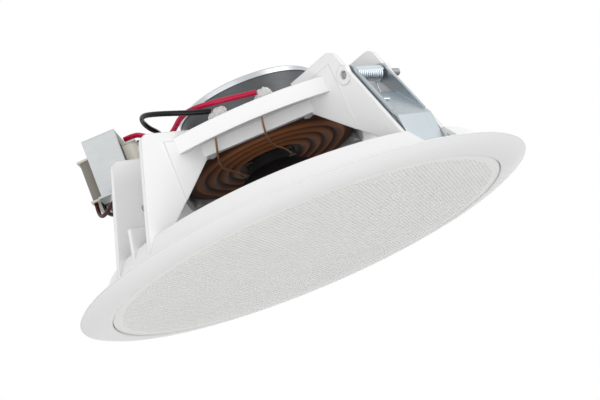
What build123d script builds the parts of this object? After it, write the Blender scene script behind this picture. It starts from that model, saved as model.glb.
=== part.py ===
from build123d import *
import os
from math import cos, pi, radians, sin, sqrt, tan

# In-ceiling loudspeaker with a line transformer. Millimetres, +Z up into the ceiling void.
# The origin is on the axis, in the plane where the flange lies against the ceiling.

# Driving dimensions: flange, bezel and collar of the moulded frame
flange_radius = 115.0
flange_edge = 1.0
bezel_drop = 4.5
bezel_bulge = 0.7
land_width = 1.8
flange_overhang = 11.5
collar_height = 12.0
collar_step = 3.0
collar_taper = 6.7
ledge_width = 15.0
ledge_back = 1.0
wall = 2.5
cut_margin = 1.0

# Perforated grille, pressed into the bezel
bezel_width = 14.7
grille_gap = 0.3
grille_sheet = 1.0
grille_depth = 2.0
grille_recess = 0.3

# Four channel legs of the frame
leg_angles = (-45.0, 45.0, 135.0, 225.0)
clamp_angles = (-45.0, 135.0)
ear_offset = 14.4
clamp_ear_top = 64.0
plain_ear_top = 60.2
ear_inner = 46.0
clamp_ear_lean = 20.0
plain_ear_lean = 18.5
clamp_ear_margin = 2.2
plain_ear_extra = 7.1
ear_round = 5.0
pad_inset = 5.5
pad_step = 0.5
web_foot_inset = 9.8
web_head_inset = 3.8
rib_height = 22.0

# Roof housing, spider seat and cross bars
roof_bottom = 51.5
roof_thickness = 3.0
roof_overhang = 8.7
roof_corner_cut = 2.0
roof_hole_radius = 28.0
lintel_distance = 48.3
lintel_bottom = 45.4
seat_width = 5.3
seat_bottom = 47.6
bar_gap = 6.5
bar_radius = 120.0
bar_bottom = 48.3
bar_top = 56.4

# Shelf that carries the transformer
shelf_top = 52.0
shelf_beyond_core = 5.5
shelf_half = 22.0
shelf_shoulder = 5.5
shelf_shoulder_drop = 21.0
shelf_shoulder_lean = 1.0

# Moving system
former_radius = 12.8
former_sheet = 0.25
former_bottom = 40.0
former_top = 61.0
winding_build = 0.55
winding_height = 8.5
glue_gap = 0.05
surround_span = 7.0
cone_flat = 4.0
cone_paper = 0.7
cone_bend_paper = 0.84
cone_flare = 29.0
cone_bend_height = 17.5
cone_neck_height = 41.5
neck_collar = 2.0
dust_cap_radius = 20.5
dust_cap_rise = 6.5
dust_cap_sheet = 0.4
surround_sheet = 0.6
surround_lap = 3.5
surround_rise = 4.0
surround_shoulder = 3.0
surround_edge_gap = 0.3
surround_roll_step = 0.2
gasket_width = 4.0
gasket_thickness = 2.0
spider_sheet = 0.6
spider_flat = 3.5
spider_waves = 4
spider_wave_height = 1.6
spider_margin = 0.4
spider_seat_step = 1.0

# Magnet system
plate_inset = 1.5
plate_thickness = 4.5
ferrite_inset = 0.5
ferrite_height = 17.5
ferrite_bore = 18.0
yoke_radius = 36.5
yoke_thickness = 3.0
yoke_chamfer = 0.8
gap_outer = 0.5
gap_inner = 0.45
magnet_screw_inset = 3.4
magnet_screw_count = 4
magnet_screw_diameter = 4.0
magnet_screw_grip = 3.6
screw_clearance = 0.2
screw_head_share = 1.9
screw_head_height_share = 0.6

# Spring clamps
pivot_inset = 18.8
pivot_height = 50.0
pin_diameter = 3.6
pin_tail = 7.0
pin_recess = 0.8
pin_chamfer = 0.4
pin_fit = 0.15
pin_boss_radius = 4.4
pin_boss_height = 0.4
arm_width = 22.0
arm_sheet = 1.2
arm_pivot_play = 0.35
arm_eye_radius = 4.4
arm_slope = 55.0
arm_bend_at = 33.0
arm_base_from = 12.0
arm_cheek_height = 1.5
arm_cheek_back = 3.1
arm_cheek_top = 4.0
arm_cheek_end = 3.6
arm_cheek_lip = 0.6
arm_bend_inset = 0.72
arm_tip_gap = 1.6
arm_tip_clearance = 0.3
arm_slot_width = 2.2
arm_slot_length = 4.6
spring_wire = 0.9
spring_bore_play = 0.9
spring_turns = 14
spring_side_play = 1.0
spring_arm_leg = 18.2
spring_hook_step = 1.2
spring_hook_rise = 0.9
spring_plate_clearance = 0.4
spring_frame_leg_clearance = 0.3
cavity_play = 0.6
bulkhead = 2.0
notch_drop = 0.2

# Line transformer
core_standoff = 10.0
core_width = 41.0
core_height = 33.0
core_stack = 17.0
core_yoke = 5.0
core_side = 6.5
core_tongue = 13.0
bracket_sheet = 1.0
bracket_foot = 10.0
bobbin_wall = 1.0
bobbin_play = 0.2
winding_inset = 0.6
winding_corner = 3.5
coil_overhang = 7.0
foot_screw_diameter = 3.0
foot_screw_length = 5.0

# Solder tags and lead ends
tag_places = {"positive": (8.5, -52.0), "negative": (-14.0, -52.0)}
tag_width = 5.0
tag_foot = 7.0
tag_height = 6.5
tag_sheet = 0.5
rivet_diameter = 2.5
rivet_head_radius = 2.1
rivet_head_height = 1.0
bead_radius = 4.2
bead_height = 60.5

# Line terminal block on the leg beside the transformer
block_leg = 225.0
block_inset = 3.0
block_height = 35.0
block_length = 16.0
block_depth = 9.0
block_tall = 11.0
block_ways = 2
block_screw_diameter = 3.0
block_screw_length = 5.0

# Flexible leads: the points of each route are chosen by hand
hookup_diameter = 2.6
tinsel_diameter = 1.1
primary_diameter = 2.0
route_corner_share = 0.45
red_route = [(6, -53, 63.0), (-5, -54.5, 64.5), (-15, -53.5, 66.5), (-24, -50, 68.8), (-31, -44, 69.5),
             (-36, -37.5, 67.6), (-41, -31, 66.8), (-45.6, -25.4, 69.0), (-49.4, -20.6, 73.4),
             (-53, -16.6, 78.2), (-57.4, -13.6, 81.5), (-63, -12.2, 81.7)]
black_route = [(-16.5, -53, 63.0), (-24, -55, 65.0), (-33, -55.5, 68.5), (-41, -53, 72.5), (-47, -46.5, 76.5),
               (-49, -38, 77.5), (-48.2, -29, 76.4), (-45.6, -20.6, 75.6), (-45.4, -11.6, 77.0),
               (-49.6, -4, 79.6), (-56.6, -0.6, 81.5), (-63, -1, 81.5)]
tinsel_routes = {
    "positive": [(10.5, -18.5, 39.6), (8, -25.5, 41.8), (4.5, -35, 41.0), (2.5, -45, 42.2), (3, -53, 45.5),
                 (4.5, -58.6, 51.0), (6.5, -57.0, 57.2), (8.5, -53.2, 58.6)],
    "negative": [(-14, -18.5, 38.4), (-19, -26, 41.2), (-22, -35, 41.2), (-22, -45, 43.0), (-20, -53, 46.5),
                 (-18, -58.6, 51.0), (-16, -57.0, 57.2), (-14, -53.2, 58.6)],
}
primary_routes = {
    "maroon": [(-87.2, -11.5, 57), (-87.6, -12.5, 52), (-85.5, -20, 46.8), (-81, -29, 45.2),
               (-76, -36.5, 46.2), (-71.6, -40.6, 45.8), (-69.8, -42, 43), (-69.6, -42.1, 38.5)],
    "black": [(-84, -10.5, 57), (-84.2, -11.5, 51.5), (-81, -17.5, 46.2), (-75.5, -24.5, 44.4),
              (-69.5, -31, 45.4), (-65.6, -35, 45.2), (-64.1, -36.4, 42.4), (-63.9, -36.5, 38.5)],
}

# Sizes that follow from the driving dimensions
roof_top = roof_bottom + roof_thickness
grille_radius = flange_radius - bezel_width
recess_radius = grille_radius + grille_gap
ledge_front = grille_recess + grille_depth - bezel_drop
collar_radius = flange_radius - flange_overhang
collar_top_radius = collar_radius - collar_taper
collar_inner = collar_radius - wall
ledge_radius = collar_inner - ledge_width
cavity_radius = ledge_radius + gasket_width + cavity_play
notch_inner = cavity_radius + bulkhead
cone_edge_radius = ledge_radius - surround_span
cone_bend_radius = cone_edge_radius - cone_flare
gap_half = ear_offset - wall
lintel_inner = lintel_distance - wall
seat_inner_radius = lintel_inner - seat_width
roof_half = lintel_distance + roof_overhang
roof_corner = roof_half - roof_corner_cut
bar_distance = roof_half + bar_gap
pivot_reach = collar_top_radius - pivot_inset
clamp_ear_reach = pivot_reach - clamp_ear_margin
plain_ear_reach = clamp_ear_reach + plain_ear_extra
pad_reach = pivot_reach - pad_inset
block_along = pivot_reach - block_inset
arm_tip_reach = notch_inner + arm_tip_gap + arm_sheet
web_foot = collar_top_radius - web_foot_inset
web_head = roof_corner - web_head_inset
web_rise = (lintel_bottom - collar_height) / (web_foot - web_head)
web_normal = wall * sqrt(1 + web_rise**2)
core_x = bar_distance + core_standoff
shelf_reach = core_x + shelf_beyond_core
shelf_shoulder_x = bar_distance + shelf_shoulder
shelf_shoulder_y = shelf_shoulder_x - shelf_shoulder_drop
plate_radius = yoke_radius - plate_inset
ferrite_radius = yoke_radius - ferrite_inset
magnet_screw_circle = plate_radius - magnet_screw_inset
plate_top = roof_top + plate_thickness
ferrite_top = plate_top + ferrite_height
yoke_top = ferrite_top + yoke_thickness
winding_radius = former_radius + glue_gap + winding_build
pole_radius = former_radius - former_sheet - gap_inner
plate_bore = winding_radius + gap_outer
spring_inner = pin_diameter / 2 + spring_bore_play
spring_outer = spring_inner + spring_wire
spring_mean = spring_inner + spring_wire / 2
arm_inner_half = arm_width / 2 - arm_sheet
spring_half = arm_inner_half - spring_side_play
spring_arm_side = spring_wire - spring_half
core_bottom = shelf_top
core_top = core_bottom + core_height
bobbin_bottom = core_bottom + core_yoke + bobbin_play
bobbin_top = core_top - core_yoke - bobbin_play
coil_half_x = core_stack / 2 + coil_overhang
coil_half_y = core_width / 2 - core_side - bobbin_play
foot_y = core_width / 2 + bracket_sheet + bracket_foot / 2
foot_hole_radius = foot_screw_diameter / 2 + screw_clearance
tag_top = roof_top + tag_height
block_back = -ear_offset - pad_step
block_front = block_back - block_depth


def upright(points):
    return Plane.XZ * make_face(Polyline(*points, close=True))


# A solid of revolution about the axis, from a closed (radius, height) outline
def turned(points):
    return revolve(upright(points), Axis.Z)


# A plate parallel to XZ, from a closed (x, z) outline
def slab(points, y_from, y_to, rounds=()):
    outline = make_face(Polyline(*points, close=True))
    for corner, radius in rounds:
        vertex = outline.vertices().sort_by_distance((corner[0], corner[1], 0))[0]
        outline = fillet(vertex, radius)
    return Pos(0, y_to, 0) * extrude(Plane.XZ * outline, y_to - y_from)


def rod(start, end, radius):
    axis = Vector(*end) - Vector(*start)
    return extrude(Plane(origin=start, z_dir=axis) * Circle(radius), axis.length)


def block(x_from, x_to, y_from, y_to, z_from, z_to):
    size = (x_to - x_from, y_to - y_from, z_to - z_from)
    return Pos((x_from + x_to) / 2, (y_from + y_to) / 2, (z_from + z_to) / 2) * Box(*size)


# Pan head screw; its head is sized by shares of the shank
def pan_screw(diameter, length):
    head_height = diameter * screw_head_height_share
    head = Pos(0, 0, head_height / 2) * Cylinder(diameter * screw_head_share / 2, head_height)
    return head + Pos(0, 0, -length / 2) * Cylinder(diameter / 2, length)


# Height of the inner face of a leg's web, over the distance along the leg
def web_height(along):
    return collar_height + (web_foot - along) * web_rise


def web_along(height):
    return web_foot - (height - collar_height) / web_rise


# Flange, bezel and collar as one turned ring
def frame_ring():
    land = (recess_radius + land_width, -bezel_drop)
    rim = (flange_radius, -flange_edge)
    middle = ((land[0] + rim[0]) / 2, (land[1] + rim[1]) / 2 - bezel_bulge)
    rest = Polyline(
        land,
        (recess_radius, -bezel_drop),
        (recess_radius, ledge_front),
        (ledge_radius, ledge_front),
        (ledge_radius, ledge_back),
        (collar_inner, ledge_back),
        (collar_inner, collar_step),
        (collar_top_radius - wall, collar_height),
        (collar_top_radius, collar_height),
        (collar_radius, collar_step),
        (collar_radius, 0),
        (flange_radius - flange_edge, 0),
        rim,
    )
    return revolve(Plane.XZ * make_face(rest + ThreePointArc(rim, middle, land)), Axis.Z)


# The space inside the collar that the surround and its gasket need
def collar_cavity():
    return turned([
        (0, ledge_back),
        (cavity_radius, ledge_back),
        (cavity_radius, collar_height),
        (0, collar_height),
    ])


# One leg: two ears with an inclined web between them, drawn along +X
def leg(reach, ear_top, lean, with_rib):
    foot = reach + (ear_top - collar_step) * tan(radians(lean))
    web_top = web_along(roof_top)
    outline = [
        (web_along(lintel_bottom), lintel_bottom),
        (web_foot, collar_height),
        (web_foot, collar_step),
        (foot, collar_step),
        (reach, ear_top),
        (ear_inner, ear_top),
        (ear_inner, lintel_bottom),
    ]
    pad = [
        (web_along(lintel_bottom), lintel_bottom),
        (pad_reach, web_height(pad_reach)),
        (pad_reach, ear_top - ear_round),
        (ear_inner, ear_top - ear_round),
        (ear_inner, lintel_bottom),
    ]
    web = [
        (web_top, roof_top),
        (web_foot, collar_height),
        (web_foot + wall, collar_height),
        (web_foot, collar_height + web_normal),
        (web_top, roof_top + web_normal),
    ]
    solid = slab(web, -ear_offset, ear_offset)
    corner = [((reach, ear_top), ear_round)]
    for side in (-1, 1):
        ear = slab(outline, gap_half, ear_offset, corner)
        ear += slab(pad, gap_half, ear_offset + pad_step)
        solid += ear if side > 0 else mirror(ear, Plane.XZ)
    solid -= block(web_top - wall, roof_corner, -gap_half, gap_half, roof_top, ear_top)
    if with_rib:
        rib_from = web_along(rib_height)
        rib = [
            (rib_from, rib_height),
            (web_foot, collar_height),
            (collar_top_radius, collar_step),
            (collar_radius - wall, collar_step),
            (collar_top_radius, rib_height),
        ]
        solid += slab(rib, -wall / 2, wall / 2)
    return solid


# Pin holes with raised bosses in a leg that carries a clamp, drawn along +X
def pin_bosses():
    bosses = None
    for side in (-1, 1):
        outside = side * (ear_offset + pin_boss_height)
        inside = (pivot_reach, side * gap_half, pivot_height)
        boss = rod(inside, (pivot_reach, outside, pivot_height), pin_boss_radius)
        bosses = boss if bosses is None else bosses + boss
    lean = tan(radians(clamp_ear_lean))
    edge = clamp_ear_reach + (clamp_ear_top - pivot_height) * lean
    trim = block(edge, edge + 2 * pin_boss_radius, -2 * ear_offset, 2 * ear_offset, 0, 2 * pivot_height)
    return bosses - trim


def pin_hole():
    reach = ear_offset + pin_boss_height + cut_margin
    start = (pivot_reach, -reach, pivot_height)
    return rod(start, (pivot_reach, reach, pivot_height), pin_diameter / 2 + pin_fit)


# One cross bar between two legs, bowed outwards, drawn on the -Y side
def cross_bar():
    centre = bar_radius - bar_distance
    meet = centre + sqrt(2) * (ear_offset - wall / 2)
    half = (sqrt(2 * bar_radius**2 - meet**2) - meet) / 2
    curve = Circle(bar_radius) - Circle(bar_radius - wall)
    bar = Pos(0, centre, bar_bottom) * extrude(curve, bar_top - bar_bottom)
    return bar & block(-half, half, -bar_distance - cut_margin, 0, bar_bottom, bar_top)


# Roof plate, the straight lintels under it and the round seat for the spider
def roof_housing():
    plate = block(-roof_half, roof_half, -roof_half, roof_half, roof_bottom, roof_top)
    square = block(-roof_corner, roof_corner, -roof_corner, roof_corner, roof_bottom, roof_top)
    housing = plate & Rot(0, 0, 45) * square
    lintel_half = lintel_distance - sqrt(2) * (ear_offset - wall / 2)
    lintel = block(-lintel_half, lintel_half, -lintel_distance, -lintel_inner, lintel_bottom, roof_bottom)
    for turn in range(4):
        housing += Rot(0, 0, 90 * turn) * lintel
    seat = [
        (seat_inner_radius, seat_bottom),
        (lintel_inner, seat_bottom),
        (lintel_inner, roof_bottom),
        (seat_inner_radius, roof_bottom),
    ]
    return housing + turned(seat)


def transformer_shelf():
    ear_line = sqrt(2) * (ear_offset - wall / 2)
    inner = bar_distance - wall
    half = Polyline(
        (-inner, 0),
        (-inner, ear_line - inner),
        (-shelf_shoulder_x, ear_line - shelf_shoulder_x),
        (-shelf_shoulder_x - shelf_shoulder_lean, -shelf_shoulder_y),
        (-shelf_reach, -shelf_half),
        (-shelf_reach, 0),
        close=True,
    )
    plate = Pos(0, 0, shelf_top - wall) * extrude(make_face(half), wall)
    return plate + mirror(plate, Plane.XZ)


def basket_frame():
    frame = frame_ring()
    for angle in leg_angles:
        if angle in clamp_angles:
            piece = leg(clamp_ear_reach, clamp_ear_top, clamp_ear_lean, False) + pin_bosses()
        else:
            piece = leg(plain_ear_reach, plain_ear_top, plain_ear_lean, True)
        frame += Rot(0, 0, angle) * piece
    frame += roof_housing()
    for turn in range(4):
        frame += Rot(0, 0, 90 * turn) * cross_bar()
    frame += transformer_shelf()
    frame -= collar_cavity()
    for angle in clamp_angles:
        back = block(notch_inner - bulkhead, notch_inner, -ear_offset, ear_offset, 0, collar_height)
        notch_end = collar_radius + cut_margin
        notch = block(notch_inner, notch_end, -gap_half, gap_half, -notch_drop, collar_height + wall)
        frame += Rot(0, 0, angle) * back
        frame -= Rot(0, 0, angle) * (pin_hole() + notch)
    frame -= Pos(0, 0, roof_bottom) * Cylinder(roof_hole_radius, 3 * roof_thickness)
    hole = magnet_screw_diameter / 2 + screw_clearance
    for place in PolarLocations(magnet_screw_circle, magnet_screw_count):
        frame -= place * Pos(0, 0, roof_bottom) * Cylinder(hole, 3 * roof_thickness)
    for side in (-1, 1):
        frame -= Pos(-core_x, side * foot_y, shelf_top) * Cylinder(foot_hole_radius, 3 * wall)
    for x, y in tag_places.values():
        frame -= Pos(x, y, roof_bottom) * Cylinder(rivet_diameter / 2, 3 * roof_thickness)
    bolt = rod((0, -ear_offset - wall, 0), (0, 0, 0), block_screw_diameter / 2 + screw_clearance)
    return frame - on_block_leg() * bolt


# Front grille: a sheet disc with its edge folded back to the ledge
def grille():
    front = grille_recess - bezel_drop
    return turned([
        (0, front),
        (grille_radius - grille_sheet, front),
        (grille_radius, front + grille_sheet),
        (grille_radius, front + grille_depth),
        (grille_radius - grille_sheet, front + grille_depth),
        (grille_radius - grille_sheet, front + grille_sheet),
        (0, front + grille_sheet),
    ])


# Paper cone in two straight flares, with a flat edge and a neck collar
def cone():
    edge_low = ledge_back
    edge_in = cone_edge_radius - cone_flat
    neck = former_radius + glue_gap
    back = cone_neck_height
    return turned([
        (cone_edge_radius, edge_low),
        (cone_edge_radius, edge_low + cone_paper),
        (edge_in, edge_low + cone_paper),
        (cone_bend_radius, cone_bend_height),
        (neck + cone_paper, back),
        (neck + cone_paper, back + neck_collar),
        (neck, back + neck_collar),
        (neck, back - cone_paper),
        (cone_bend_radius, cone_bend_height - cone_bend_paper),
        (edge_in, edge_low),
    ])


def cone_front(radius):
    neck = former_radius + glue_gap
    share = (radius - neck) / (cone_bend_radius - neck)
    high = cone_neck_height - cone_paper
    return high + share * (cone_bend_height - cone_bend_paper - high)


# Domed dust cap on the front of the cone
def dust_cap():
    rim = cone_front(dust_cap_radius) - glue_gap
    dome_radius = (dust_cap_radius**2 + dust_cap_rise**2) / (2 * dust_cap_rise)
    centre = Pos(0, 0, rim - dust_cap_rise + dome_radius)
    shell = centre * (Sphere(dome_radius) - Sphere(dome_radius - dust_cap_sheet))
    return shell & Pos(0, 0, rim - dust_cap_rise) * Cylinder(dust_cap_radius, 2 * dust_cap_rise)


def voice_coil_former():
    return turned([
        (former_radius - former_sheet, former_bottom),
        (former_radius, former_bottom),
        (former_radius, former_top),
        (former_radius - former_sheet, former_top),
    ])


def voice_coil_winding():
    inner = former_radius + glue_gap
    return turned([
        (inner, former_top - winding_height),
        (winding_radius, former_top - winding_height),
        (winding_radius, former_top),
        (inner, former_top),
    ])


# Rolled surround: lapped on the cone's edge, glued to the ledge of the frame
def surround():
    lap_low = ledge_back + cone_paper
    roll_in = cone_edge_radius
    roll_out = ledge_radius - surround_edge_gap
    mid = (roll_in + roll_out) / 2
    quarter = (roll_out - roll_in) / 4
    crest = lap_low + surround_rise
    shoulder = lap_low + surround_shoulder
    skin = surround_sheet
    outer = ledge_radius + gasket_width
    return turned([
        (roll_in - surround_lap, lap_low),
        (roll_in + surround_roll_step, lap_low),
        (mid - quarter, shoulder),
        (mid, crest),
        (mid + quarter, shoulder),
        (roll_out, ledge_back),
        (outer, ledge_back),
        (outer, ledge_back + skin),
        (roll_out + skin, ledge_back + skin),
        (mid + quarter + skin / 2, shoulder + skin),
        (mid, crest + skin),
        (mid - quarter - skin / 2, shoulder + skin),
        (roll_in - skin, lap_low + skin),
        (roll_in - surround_lap, lap_low + skin),
    ])


def surround_gasket():
    low = ledge_back + surround_sheet
    return turned([
        (ledge_radius + surround_sheet, low),
        (ledge_radius + gasket_width, low),
        (ledge_radius + gasket_width, low + gasket_thickness),
        (ledge_radius + surround_sheet, low + gasket_thickness),
    ])


# Corrugated spider from the voice coil former out to its seat under the roof
def spider():
    outer = lintel_inner - spider_margin
    flat_from = seat_inner_radius + spider_seat_step
    inner = former_radius + glue_gap
    wave_from = inner + spider_flat / 2
    pitch = (flat_from - wave_from) / (2 * spider_waves)
    base = seat_bottom - spider_sheet
    low = [(inner, base)]
    for step in range(2 * spider_waves):
        radius = wave_from + pitch * (step + 0.5)
        low.append((radius, base - (spider_wave_height if step % 2 else 0)))
    low.append((flat_from, base))
    low.append((outer, base))
    high = [(radius, height + spider_sheet) for radius, height in reversed(low)]
    return turned(low + high)


def front_plate():
    plate = turned([
        (plate_bore, roof_top),
        (plate_radius, roof_top),
        (plate_radius, plate_top),
        (plate_bore, plate_top),
    ])
    for place in PolarLocations(magnet_screw_circle, magnet_screw_count):
        plate -= place * Pos(0, 0, roof_top) * Cylinder(magnet_screw_diameter / 2, 2 * plate_thickness)
    return plate


def ferrite_magnet():
    return turned([
        (ferrite_bore, plate_top),
        (ferrite_radius, plate_top),
        (ferrite_radius, ferrite_top),
        (ferrite_bore, ferrite_top),
    ])


# Back plate and centre pole in one piece
def pole_yoke():
    return turned([
        (0, roof_top),
        (pole_radius, roof_top),
        (pole_radius, ferrite_top),
        (yoke_radius, ferrite_top),
        (yoke_radius, yoke_top - yoke_chamfer),
        (yoke_radius - yoke_chamfer, yoke_top),
        (0, yoke_top),
    ])


def magnet_screws():
    screws = []
    length = roof_thickness + magnet_screw_grip
    for place in PolarLocations(magnet_screw_circle, magnet_screw_count):
        under_roof = place * Pos(0, 0, roof_bottom) * Rot(180, 0, 0)
        screws.append(under_roof * pan_screw(magnet_screw_diameter, length))
    return Compound(children=screws)


# Places on the clamp arm: a step along the arm from the pivot, and a rise outwards from it
def arm_point(step, rise):
    slope = radians(arm_slope)
    along = pivot_reach + step * cos(slope) + rise * sin(slope)
    return (along, pivot_height - step * sin(slope) + rise * cos(slope))


# Clamp arm of folded sheet: two cheeks, a base plate between them and a plate bent down to the flange
def clamp_arm():
    base_top = -spring_outer
    base_low = base_top - arm_sheet
    bend_out = arm_point(arm_bend_at, base_top)
    bend_in = arm_point(arm_bend_at - arm_bend_inset, base_low)
    tip = (arm_tip_reach, arm_tip_clearance)
    half = arm_width / 2
    cheek_end = arm_bend_at - arm_cheek_end
    plate = [
        arm_point(arm_base_from, base_top),
        bend_out,
        tip,
        (tip[0] - arm_sheet, tip[1]),
        bend_in,
        arm_point(arm_base_from, base_low),
    ]
    cheek = [
        arm_point(-arm_cheek_back, base_top + arm_cheek_lip),
        arm_point(arm_base_from, base_low),
        arm_point(cheek_end, base_low),
        arm_point(cheek_end, base_top + arm_cheek_lip),
        arm_point(arm_base_from, arm_cheek_height),
        arm_point(0, arm_cheek_top),
    ]
    arm = slab(plate, -half, half)
    for side in (-1, 1):
        inner = side * arm_inner_half
        outer = side * half
        eye = rod((pivot_reach, inner, pivot_height), (pivot_reach, outer, pivot_height), arm_eye_radius)
        arm += slab(cheek, min(inner, outer), max(inner, outer)) + eye
    hole = pin_diameter / 2 + arm_pivot_play
    arm -= rod((pivot_reach, -arm_width, pivot_height), (pivot_reach, arm_width, pivot_height), hole)
    slot_at = arm_point(spring_arm_leg + spring_hook_step / 2, base_top)
    slot = Box(arm_slot_length, arm_slot_width, 6 * arm_sheet)
    slot = Pos(slot_at[0], spring_arm_side, slot_at[1]) * Rot(0, arm_slope, 0) * slot
    return arm - slot


# Torsion spring: close turns round the pin, one leg hooked up through the arm and one on the web of the leg
def clamp_spring():
    pitch = 2 * spring_half / spring_turns
    ridges = [(spring_inner, -spring_half), (spring_mean, -spring_half)]
    for turn in range(spring_turns):
        middle = -spring_half + pitch * (turn + 0.5)
        ridges.append((spring_outer, middle))
        if turn + 1 < spring_turns:
            ridges.append((spring_mean, middle + pitch / 2))
    ridges += [(spring_mean, spring_half), (spring_inner, spring_half)]
    coil = Pos(pivot_reach, 0, pivot_height) * Rot(90, 0, 0) * turned(ridges)
    wire = spring_wire / 2
    under_edge = -spring_outer - arm_sheet - wire - spring_plate_clearance
    under_slot = -spring_mean + (under_edge + spring_mean) * spring_arm_leg / arm_base_from
    steps = [
        (0, -spring_mean),
        (spring_arm_leg, under_slot),
        (spring_arm_leg + spring_hook_step, -spring_outer + spring_hook_rise),
    ]
    places = [arm_point(step, rise) for step, rise in steps]
    for (x_from, z_from), (x_to, z_to) in zip(places, places[1:]):
        coil += rod((x_from, spring_arm_side, z_from), (x_to, spring_arm_side, z_to), wire)
    bend_x, bend_z = places[1]
    coil += Pos(bend_x, spring_arm_side, bend_z) * Sphere(wire)
    down = pivot_reach - spring_mean
    rest = web_height(down - wire) + web_normal + spring_frame_leg_clearance
    return coil + rod((down, -spring_arm_side, pivot_height), (down, -spring_arm_side, rest), wire)


def clamp_pin(tail_side):
    near = -tail_side * (ear_offset + pin_boss_height - pin_recess)
    far = tail_side * (ear_offset + pin_boss_height + pin_tail)
    pin = rod((pivot_reach, near, pivot_height), (pivot_reach, far, pivot_height), pin_diameter / 2)
    ends = pin.edges().filter_by(GeomType.CIRCLE)
    return chamfer(ends, pin_chamfer)


# Transformer core: a stack of E and I laminations with its two windows
def transformer_core():
    core = block(-core_stack / 2, core_stack / 2, -core_width / 2, core_width / 2, core_bottom, core_top)
    window_from = core_tongue / 2
    window_to = core_width / 2 - core_side
    low = core_bottom + core_yoke
    high = core_top - core_yoke
    for side in (-1, 1):
        near, far = sorted((side * window_from, side * window_to))
        core -= block(-core_stack, core_stack, near, far, low, high)
    return Pos(-core_x, 0, 0) * core


def transformer_bobbin():
    hole_x = core_stack / 2 + bobbin_play
    hole_y = core_tongue / 2 + bobbin_play
    tube_x = hole_x + bobbin_wall
    tube_y = hole_y + bobbin_wall
    bobbin = block(-tube_x, tube_x, -tube_y, tube_y, bobbin_bottom, bobbin_top)
    for low in (bobbin_bottom, bobbin_top - bobbin_wall):
        bobbin += block(-coil_half_x, coil_half_x, -coil_half_y, coil_half_y, low, low + bobbin_wall)
    return Pos(-core_x, 0, 0) * (bobbin - block(-hole_x, hole_x, -hole_y, hole_y, 0, 2 * core_top))


# Winding with its tape: rounded corners, between the flanges of the bobbin
def transformer_winding():
    low = bobbin_bottom + bobbin_wall
    high = bobbin_top - bobbin_wall
    half_x = coil_half_x - winding_inset
    half_y = coil_half_y - winding_inset
    hole_x = core_stack / 2 + bobbin_play + bobbin_wall
    hole_y = core_tongue / 2 + bobbin_play + bobbin_wall
    outline = RectangleRounded(2 * half_x, 2 * half_y, winding_corner) - Rectangle(2 * hole_x, 2 * hole_y)
    return Pos(-core_x, 0, low) * extrude(outline, high - low)


# Channel bracket over the core, with a foot on each side
def transformer_bracket():
    half = core_width / 2
    outside = half + bracket_sheet
    end = outside + bracket_foot
    top = core_top + bracket_sheet
    floor = shelf_top + bracket_sheet
    outline = [
        (-end, shelf_top),
        (-half, shelf_top),
        (-half, core_top),
        (half, core_top),
        (half, shelf_top),
        (end, shelf_top),
        (end, floor),
        (outside, floor),
        (outside, top),
        (-outside, top),
        (-outside, floor),
        (-end, floor),
    ]
    bends = [((-outside, top), bracket_sheet), ((outside, top), bracket_sheet)]
    bracket = Rot(0, 0, 90) * slab(outline, -core_stack / 2, core_stack / 2, bends)
    for side in (-1, 1):
        bracket -= Pos(0, side * foot_y, shelf_top) * Cylinder(foot_hole_radius, 4 * wall)
    return Pos(-core_x, 0, 0) * bracket


def transformer_screws():
    screws = []
    for side in (-1, 1):
        place = Pos(-core_x, side * foot_y, shelf_top + bracket_sheet)
        screws.append(place * pan_screw(foot_screw_diameter, foot_screw_length))
    return Compound(children=screws)


# Solder tag: a foot riveted to the roof and an upright blade
def solder_tag(x, y):
    half = tag_width / 2
    foot = block(-half, half, -tag_foot / 2, tag_foot / 2, roof_top, roof_top + tag_sheet)
    rise_at = tag_foot / 2
    blade = block(-half, half, rise_at - tag_sheet, rise_at, roof_top, tag_top)
    tag = foot + blade - Pos(0, 0, roof_top) * Cylinder(rivet_diameter / 2, 4 * tag_sheet)
    return Pos(x, y, 0) * tag


def tag_rivets():
    rivets = []
    head_low = roof_top + tag_sheet
    for x, y in tag_places.values():
        shank = rod((x, y, roof_bottom), (x, y, head_low), rivet_diameter / 2)
        head = Pos(x, y, head_low + rivet_head_height / 2) * Cylinder(rivet_head_radius, rivet_head_height)
        rivets.append(shank + head)
    return Compound(children=rivets)


# Bead of clear adhesive over a tag, with straight bores for the ends of its two leads
def lead_bead(x, y, hookup_route, tinsel_route):
    blade_back = y + tag_foot / 2
    low = roof_top + tag_sheet + rivet_head_height
    bead = Pos(x, y, bead_height) * Sphere(bead_radius)
    bead -= block(x - bead_radius, x + bead_radius, y - bead_radius, y + bead_radius, roof_top, low)
    bead -= block(x - tag_width / 2, x + tag_width / 2, blade_back - tag_sheet, blade_back, roof_top, tag_top)
    bead -= rod(hookup_route[0], hookup_route[1], hookup_diameter / 2)
    return bead - rod(tinsel_route[-1], tinsel_route[-2], tinsel_diameter / 2)


# Frame of the leg that carries the terminal block: X along the leg, -Y out of the ear that carries it
def on_block_leg():
    return Rot(0, 0, block_leg) * Pos(block_along, 0, block_height)


def terminal_block():
    half = block_length / 2
    middle = (block_front + block_back) / 2
    body = block(-half, half, block_front, block_back, -block_tall / 2, block_tall / 2)
    for x in block_way_places():
        body -= Pos(x, middle, 0) * Cylinder(primary_diameter / 2 + pin_fit, 2 * block_tall)
        body -= rod((x, block_front - cut_margin, 0), (x, middle, 0), block_screw_diameter / 2)
    bolt = block_screw_diameter / 2 + screw_clearance
    hole = rod((0, block_front - cut_margin, 0), (0, block_back + cut_margin, 0), bolt)
    return on_block_leg() * (body - hole)


def block_way_places():
    pitch = block_length / block_ways
    return [pitch * (way + 0.5) - block_length / 2 for way in range(block_ways)]


def terminal_fixing_screw():
    screw = pan_screw(block_screw_diameter, block_depth + block_screw_length)
    return on_block_leg() * Pos(0, block_front, 0) * Rot(90, 0, 0) * screw


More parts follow.
